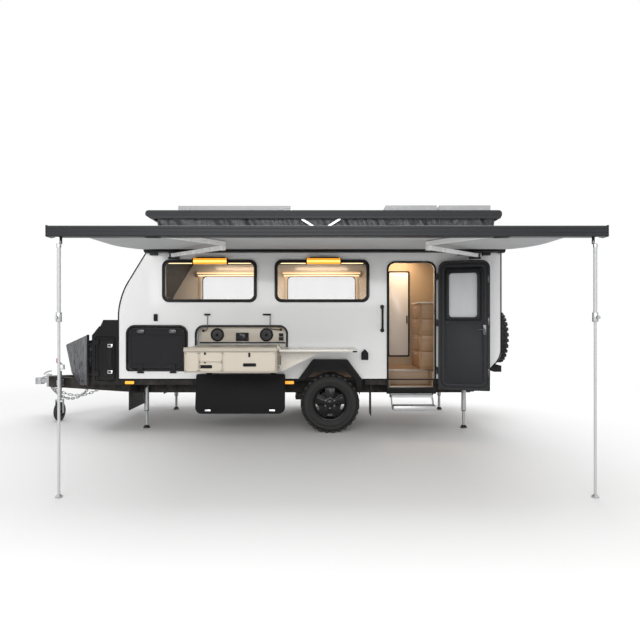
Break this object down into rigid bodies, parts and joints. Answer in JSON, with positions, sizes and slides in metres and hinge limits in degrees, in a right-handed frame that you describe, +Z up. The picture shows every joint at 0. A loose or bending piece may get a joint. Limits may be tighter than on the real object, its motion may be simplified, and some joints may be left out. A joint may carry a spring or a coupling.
{
  "type": "off-road camper trailer",
  "caption": "Off-road camper trailer with pop-top roof, folding-arm awning, pull-out kitchen, entry door, stabiliser legs and jockey wheel, set up for camp.",
  "frame": {"origin": "centre of the bounding box at ground level", "axes": "+X to the rear of the trailer, -Y to the entry side, +Z up"},
  "size_m": [6.83, 4.803, 2.94],
  "materials": {
    "black_steel": "satin",
    "galvanised": "dull",
    "grey_rubber": "matt",
    "black_alloy": "satin",
    "vinyl": "matt",
    "white_panel": "gloss",
    "floor_board": "matt",
    "alloy": "satin",
    "black_plastic": "satin",
    "tinted_glass": "gloss",
    "charcoal": "satin",
    "pale_glass": "gloss",
    "tank": "matt",
    "tyre": "matt",
    "black_rim": "satin",
    "dark_alloy": "satin",
    "awning_cloth": "matt",
    "white_alloy": "satin",
    "roof_grey": "satin",
    "solar": "gloss",
    "stainless": "satin",
    "amber": "gloss",
    "ply": "satin",
    "quilt": "matt"
  },
  "bodies": {
    "trailer": {"chassis": "black_steel", "hitch_coupling": "galvanised", "jockey_post": "galvanised", "front_toolbox": "black_alloy", "stone_guard_frame": "black_steel", "stone_guard_cover": "vinyl", "safety_chains": "galvanised", "side_wall_left": "white_panel", "side_wall_right": "white_panel", "front_wall": "white_panel", "rear_wall": "white_panel", "floor": "floor_board", "top_frame": "alloy", "window_frames": "black_plastic", "window_glass": "tinted_glass", "wall_fittings": "black_plastic", "kitchen_hatch_door": "black_plastic", "wheel_arches": "black_plastic", "suspension": "black_steel", "mud_flaps": "grey_rubber", "water_tanks": "tank", "awning_case": "dark_alloy", "awning_fabric": "awning_cloth", "roof_skirt": "vinyl", "kitchen_unit": "stainless", "kitchen_panel": "white_panel", "lamps": "amber", "rear_bar": "black_steel", "spare_wheel": "tyre", "furniture": "ply", "ensuite": "white_panel", "mattress": "quilt"},
    "wheel_left": {"tyre_left": "tyre", "rim_left": "black_rim"},
    "wheel_right": {"tyre_right": "tyre", "rim_right": "black_rim"},
    "jockey_swivel": {"jockey_fork": "galvanised"},
    "jockey_roller": {"jockey_wheel": "grey_rubber"},
    "box_door": {"toolbox_door": "black_alloy"},
    "hatch_front": {"front_hatch": "black_plastic"},
    "door_entry": {"entry_door": "charcoal", "entry_glass": "pale_glass"},
    "step": {"entry_step": "alloy"},
    "stay_front_left": {"leg_front_left": "galvanised"},
    "stay_front_right": {"leg_front_right": "galvanised"},
    "stay_rear_left": {"leg_rear_left": "galvanised"},
    "stay_rear_right": {"leg_rear_right": "galvanised"},
    "upper_left": {"arm_upper_left": "white_alloy"},
    "fore_left": {"arm_fore_left": "white_alloy"},
    "lead_rail": {"awning_rail": "dark_alloy"},
    "upper_right": {"arm_upper_right": "white_alloy"},
    "fore_right": {"arm_fore_right": "white_alloy"},
    "pole_left": {"awning_pole_left": "alloy"},
    "pole_right": {"awning_pole_right": "alloy"},
    "roof": {"roof_shell": "roof_grey", "solar_panels": "solar"},
    "lift_front": {"lift_bars_front": "alloy"},
    "lift_rear": {"lift_bars_rear": "alloy"},
    "table": {"side_table": "stainless"},
    "gusset": {"table_gusset": "stainless"}
  },
  "joints": [
    {"name": "wheel_left_spin", "type": "hinge", "parent": "trailer", "child": "wheel_left", "pos_m": [0.89, 0.24448, 0.375], "axis": [0, 1, 0], "continuous": true},
    {"name": "wheel_right_spin", "type": "hinge", "parent": "trailer", "child": "wheel_right", "pos_m": [0.89, 2.21448, 0.375], "axis": [0, 1, 0], "continuous": true},
    {"name": "jockey_turn", "type": "hinge", "parent": "trailer", "child": "jockey_swivel", "pos_m": [-2.955, 0.99748, 0.5], "axis": [0, 0, 1], "continuous": true},
    {"name": "jockey_roll", "type": "hinge", "parent": "jockey_swivel", "child": "jockey_roller", "pos_m": [-2.955, 0.99748, 0.132], "axis": [1, 0, 0], "continuous": true},
    {"name": "box_door_swing", "type": "hinge", "parent": "trailer", "child": "box_door", "pos_m": [-2.097, 0.13548, 0.9], "axis": [0, 0, 1], "range_deg": [-105, 0]},
    {"name": "front_hatch_swing", "type": "hinge", "parent": "trailer", "child": "hatch_front", "pos_m": [-1.307, 0.11348, 0.77], "axis": [-1, 0, 0], "range_deg": [-172, 0]},
    {"name": "entry_door_swing", "type": "hinge", "parent": "trailer", "child": "door_entry", "pos_m": [2.24, 0.08748, 1.3], "axis": [0, 0, -1], "range_deg": [0, 165]},
    {"name": "step_fold", "type": "hinge", "parent": "trailer", "child": "step", "pos_m": [1.928, 0.17748, 0.47], "axis": [1, 0, 0], "range_deg": [0, 140]},
    {"name": "leg_front_left_fold", "type": "hinge", "parent": "trailer", "child": "stay_front_left", "pos_m": [-1.547, 0.48448, 0.56], "axis": [0, -1, 0], "range_deg": [0, 90]},
    {"name": "leg_front_right_fold", "type": "hinge", "parent": "trailer", "child": "stay_front_right", "pos_m": [-1.547, 1.97448, 0.56], "axis": [0, -1, 0], "range_deg": [0, 90]},
    {"name": "leg_rear_left_fold", "type": "hinge", "parent": "trailer", "child": "stay_rear_left", "pos_m": [2.678, 0.48448, 0.56], "axis": [0, 1, 0], "range_deg": [0, 90]},
    {"name": "leg_rear_right_fold", "type": "hinge", "parent": "trailer", "child": "stay_rear_right", "pos_m": [2.678, 1.97448, 0.56], "axis": [0, 1, 0], "range_deg": [0, 90]},
    {"name": "awning_shoulder", "type": "hinge", "parent": "trailer", "child": "upper_left", "pos_m": [-1.056, -0.02052, 2.281], "axis": [0, -0.0593, 0.9982], "range_deg": [0, 55.4], "deforming": ["awning_fabric"]},
    {"name": "awning_elbow_left", "type": "hinge", "parent": "upper_left", "child": "fore_left", "pos_m": [-0.223, -1.28329, 2.20598], "axis": [0, -0.0593, 0.9982], "range_deg": [-122.66, 0]},
    {"name": "awning_wrist_left", "type": "hinge", "parent": "fore_left", "child": "lead_rail", "pos_m": [-0.61, -2.27654, 2.14697], "axis": [0, -0.0593, 0.9982], "range_deg": [0, 67.26]},
    {"name": "awning_shoulder_right", "type": "hinge", "parent": "trailer", "child": "upper_right", "pos_m": [2.696, -0.02052, 2.281], "axis": [0, 0.0593, -0.9982], "range_deg": [0, 55.41]},
    {"name": "awning_elbow_right", "type": "hinge", "parent": "upper_right", "child": "fore_right", "pos_m": [1.863, -1.28329, 2.20598], "axis": [0, 0.0593, -0.9982], "range_deg": [-122.66, 0]},
    {"name": "pole_left_fold", "type": "hinge", "parent": "lead_rail", "child": "pole_left", "pos_m": [-1.35, -2.35648, 2.06889], "axis": [0, -1, 0], "range_deg": [0, 90]},
    {"name": "pole_right_fold", "type": "hinge", "parent": "lead_rail", "child": "pole_right", "pos_m": [2.99, -2.35648, 2.06889], "axis": [0, 1, 0], "range_deg": [0, 90]},
    {"name": "roof_lift", "type": "slide", "parent": "trailer", "child": "roof", "axis": [0, 0, -1], "range_m": [0, 0.3], "deforming": ["roof_skirt"]},
    {"name": "lift_bar_front", "type": "hinge", "parent": "trailer", "child": "lift_front", "pos_m": [0.53495, 1.22948, 2.421], "axis": [0, 1, 0], "range_deg": [0, 31.21]},
    {"name": "lift_bar_rear", "type": "hinge", "parent": "trailer", "child": "lift_rear", "pos_m": [1.01505, 1.22948, 2.421], "axis": [0, -1, 0], "range_deg": [0, 31.21]},
    {"name": "table_flip", "type": "hinge", "parent": "trailer", "child": "table", "pos_m": [0.288, -0.35552, 1.138], "axis": [0, -1, 0], "range_deg": [0, 180]},
    {"name": "gusset_swing", "type": "hinge", "parent": "trailer", "child": "gusset", "pos_m": [0.294, -0.39052, 0.97], "axis": [0, 0, 1], "range_deg": [0, 88]}
  ],
  "couplings": [
    {"joint": "awning_elbow_left", "follows": "awning_shoulder", "ratio": -2.2139},
    {"joint": "awning_wrist_left", "follows": "awning_shoulder", "ratio": 1.2139},
    {"joint": "awning_shoulder_right", "follows": "awning_shoulder", "ratio": 1},
    {"joint": "awning_elbow_right", "follows": "awning_shoulder", "ratio": -2.2139},
    {"joint": "lift_bar_front", "follows": "roof_lift", "rad_per_m": 1.8146},
    {"joint": "lift_bar_rear", "follows": "roof_lift", "rad_per_m": 1.8146}
  ]
}
